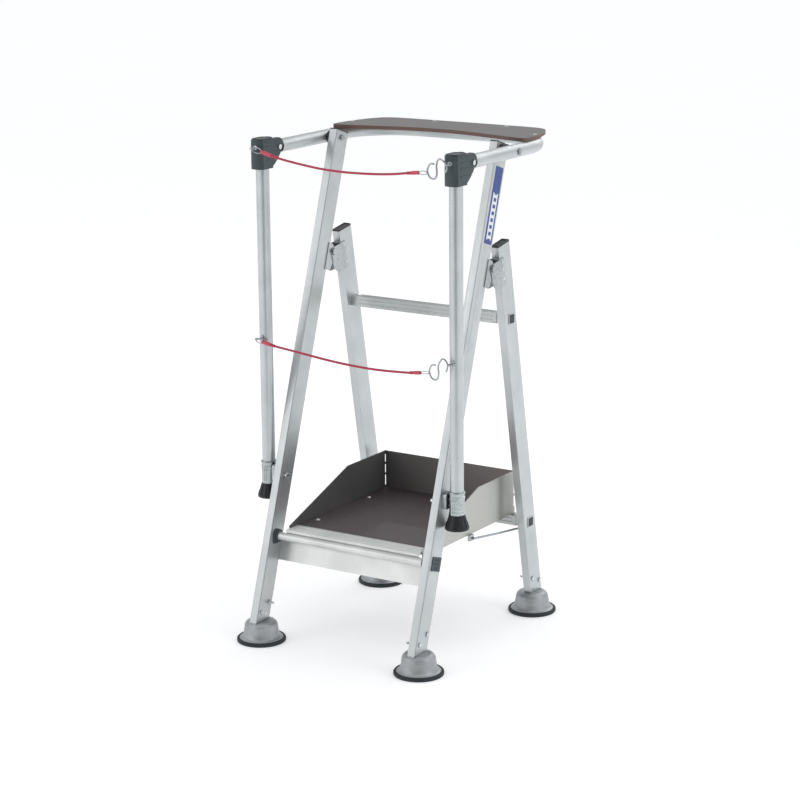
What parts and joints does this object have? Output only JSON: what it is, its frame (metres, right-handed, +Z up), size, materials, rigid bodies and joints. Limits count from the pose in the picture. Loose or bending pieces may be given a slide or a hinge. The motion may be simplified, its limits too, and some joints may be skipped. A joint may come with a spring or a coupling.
{
  "type": "work platform bench",
  "caption": "Folding work platform: leaning stiles and legs on round rubber feet, a tread tray with toe boards, and a U guard rail with a tool shelf, hinged posts and safety cords.",
  "frame": {"origin": "middle of the bench's footprint, on the floor under the rubber feet", "axes": "+Z up; -Y is the side with the cords that the user climbs from; +X is the user's right when facing the bench"},
  "size_m": [0.7386, 0.8125, 1.505],
  "materials": {
    "aluminium": "satin",
    "tube": "satin",
    "zinc": "zinc plated",
    "casting": "as cast",
    "slate_plastic": "matte",
    "black_plastic": "matte",
    "rubber": "matte",
    "tread": "matte",
    "timber": "matte",
    "cord": "woven"
  },
  "bodies": {
    "front_frame": {"stile_left": "aluminium", "stile_right": "aluminium", "stile_cap_left": "black_plastic", "stile_cap_right": "black_plastic", "front_crossbar": "aluminium", "pivot_tube": "tube", "pivot_plug_left": "slate_plastic", "pivot_plug_right": "slate_plastic", "foot_front_left": "casting", "foot_front_right": "casting", "pad_front_left": "rubber", "pad_front_right": "rubber", "hinge_bracket_front_left": "zinc", "hinge_bracket_front_right": "zinc", "hinge_pin_left": "zinc", "hinge_pin_right": "zinc", "post_bracket_left": "zinc", "post_bracket_right": "zinc", "rail_bolt_left": "zinc", "rail_bolt_right": "zinc"},
    "rear_frame": {"rear_leg_left": "aluminium", "rear_leg_right": "aluminium", "leg_cap_left": "black_plastic", "leg_cap_right": "black_plastic", "rung_lower": "aluminium", "rung_upper": "aluminium", "hinge_bracket_rear_left": "zinc", "hinge_bracket_rear_right": "zinc", "foot_rear_left": "casting", "foot_rear_right": "casting", "pad_rear_left": "rubber", "pad_rear_right": "rubber"},
    "bail": {"lock_bail": "zinc"},
    "deck": {"deck_panel": "tread", "deck_nosing": "aluminium", "toe_board_left": "aluminium", "toe_board_right": "aluminium", "toe_board_rear": "aluminium", "bail_clip_left": "zinc", "bail_clip_right": "zinc"},
    "rail": {"guard_rail": "tube", "tool_shelf": "timber", "rail_spacer_left": "black_plastic", "rail_spacer_right": "black_plastic", "rail_end_left": "black_plastic", "rail_end_right": "black_plastic"},
    "left_post": {"elbow_left": "slate_plastic", "elbow_pin_left": "zinc", "post_left": "tube", "post_collar_left": "zinc", "post_tip_left": "rubber", "cord_upper": "cord", "cord_lower": "cord", "s_hook_upper": "zinc", "s_hook_lower": "zinc"},
    "right_post": {"elbow_right": "slate_plastic", "elbow_pin_right": "zinc", "post_right": "tube", "post_collar_right": "zinc", "post_tip_right": "rubber"}
  },
  "joints": [
    {"name": "rear_frame_fold", "type": "hinge", "parent": "front_frame", "child": "rear_frame", "pos_m": [0, 0.0633, 1.131], "axis": [-1, 0, 0], "range_deg": [0, 25]},
    {"name": "bail_drop", "type": "hinge", "parent": "rear_frame", "child": "bail", "pos_m": [0, 0.3203, 0.291], "axis": [1, 0, 0], "range_deg": [0, 5]},
    {"name": "deck_fold", "type": "hinge", "parent": "front_frame", "child": "deck", "pos_m": [0, -0.2597, 0.3135], "axis": [1, 0, 0], "range_deg": [0, 70]},
    {"name": "guard_rail_fold", "type": "hinge", "parent": "front_frame", "child": "rail", "pos_m": [0, 0.119, 1.472], "axis": [-1, 0, 0], "range_deg": [0, 60]},
    {"name": "left_post_fold", "type": "hinge", "parent": "rail", "child": "left_post", "pos_m": [-0.3333, -0.1447, 1.474], "axis": [-1, 0, 0], "range_deg": [0, 90]},
    {"name": "right_post_fold", "type": "hinge", "parent": "rail", "child": "right_post", "pos_m": [0.3333, -0.1447, 1.474], "axis": [-1, 0, 0], "range_deg": [0, 90]}
  ],
  "couplings": [
    {"joint": "right_post_fold", "follows": "left_post_fold", "ratio": 1}
  ]
}
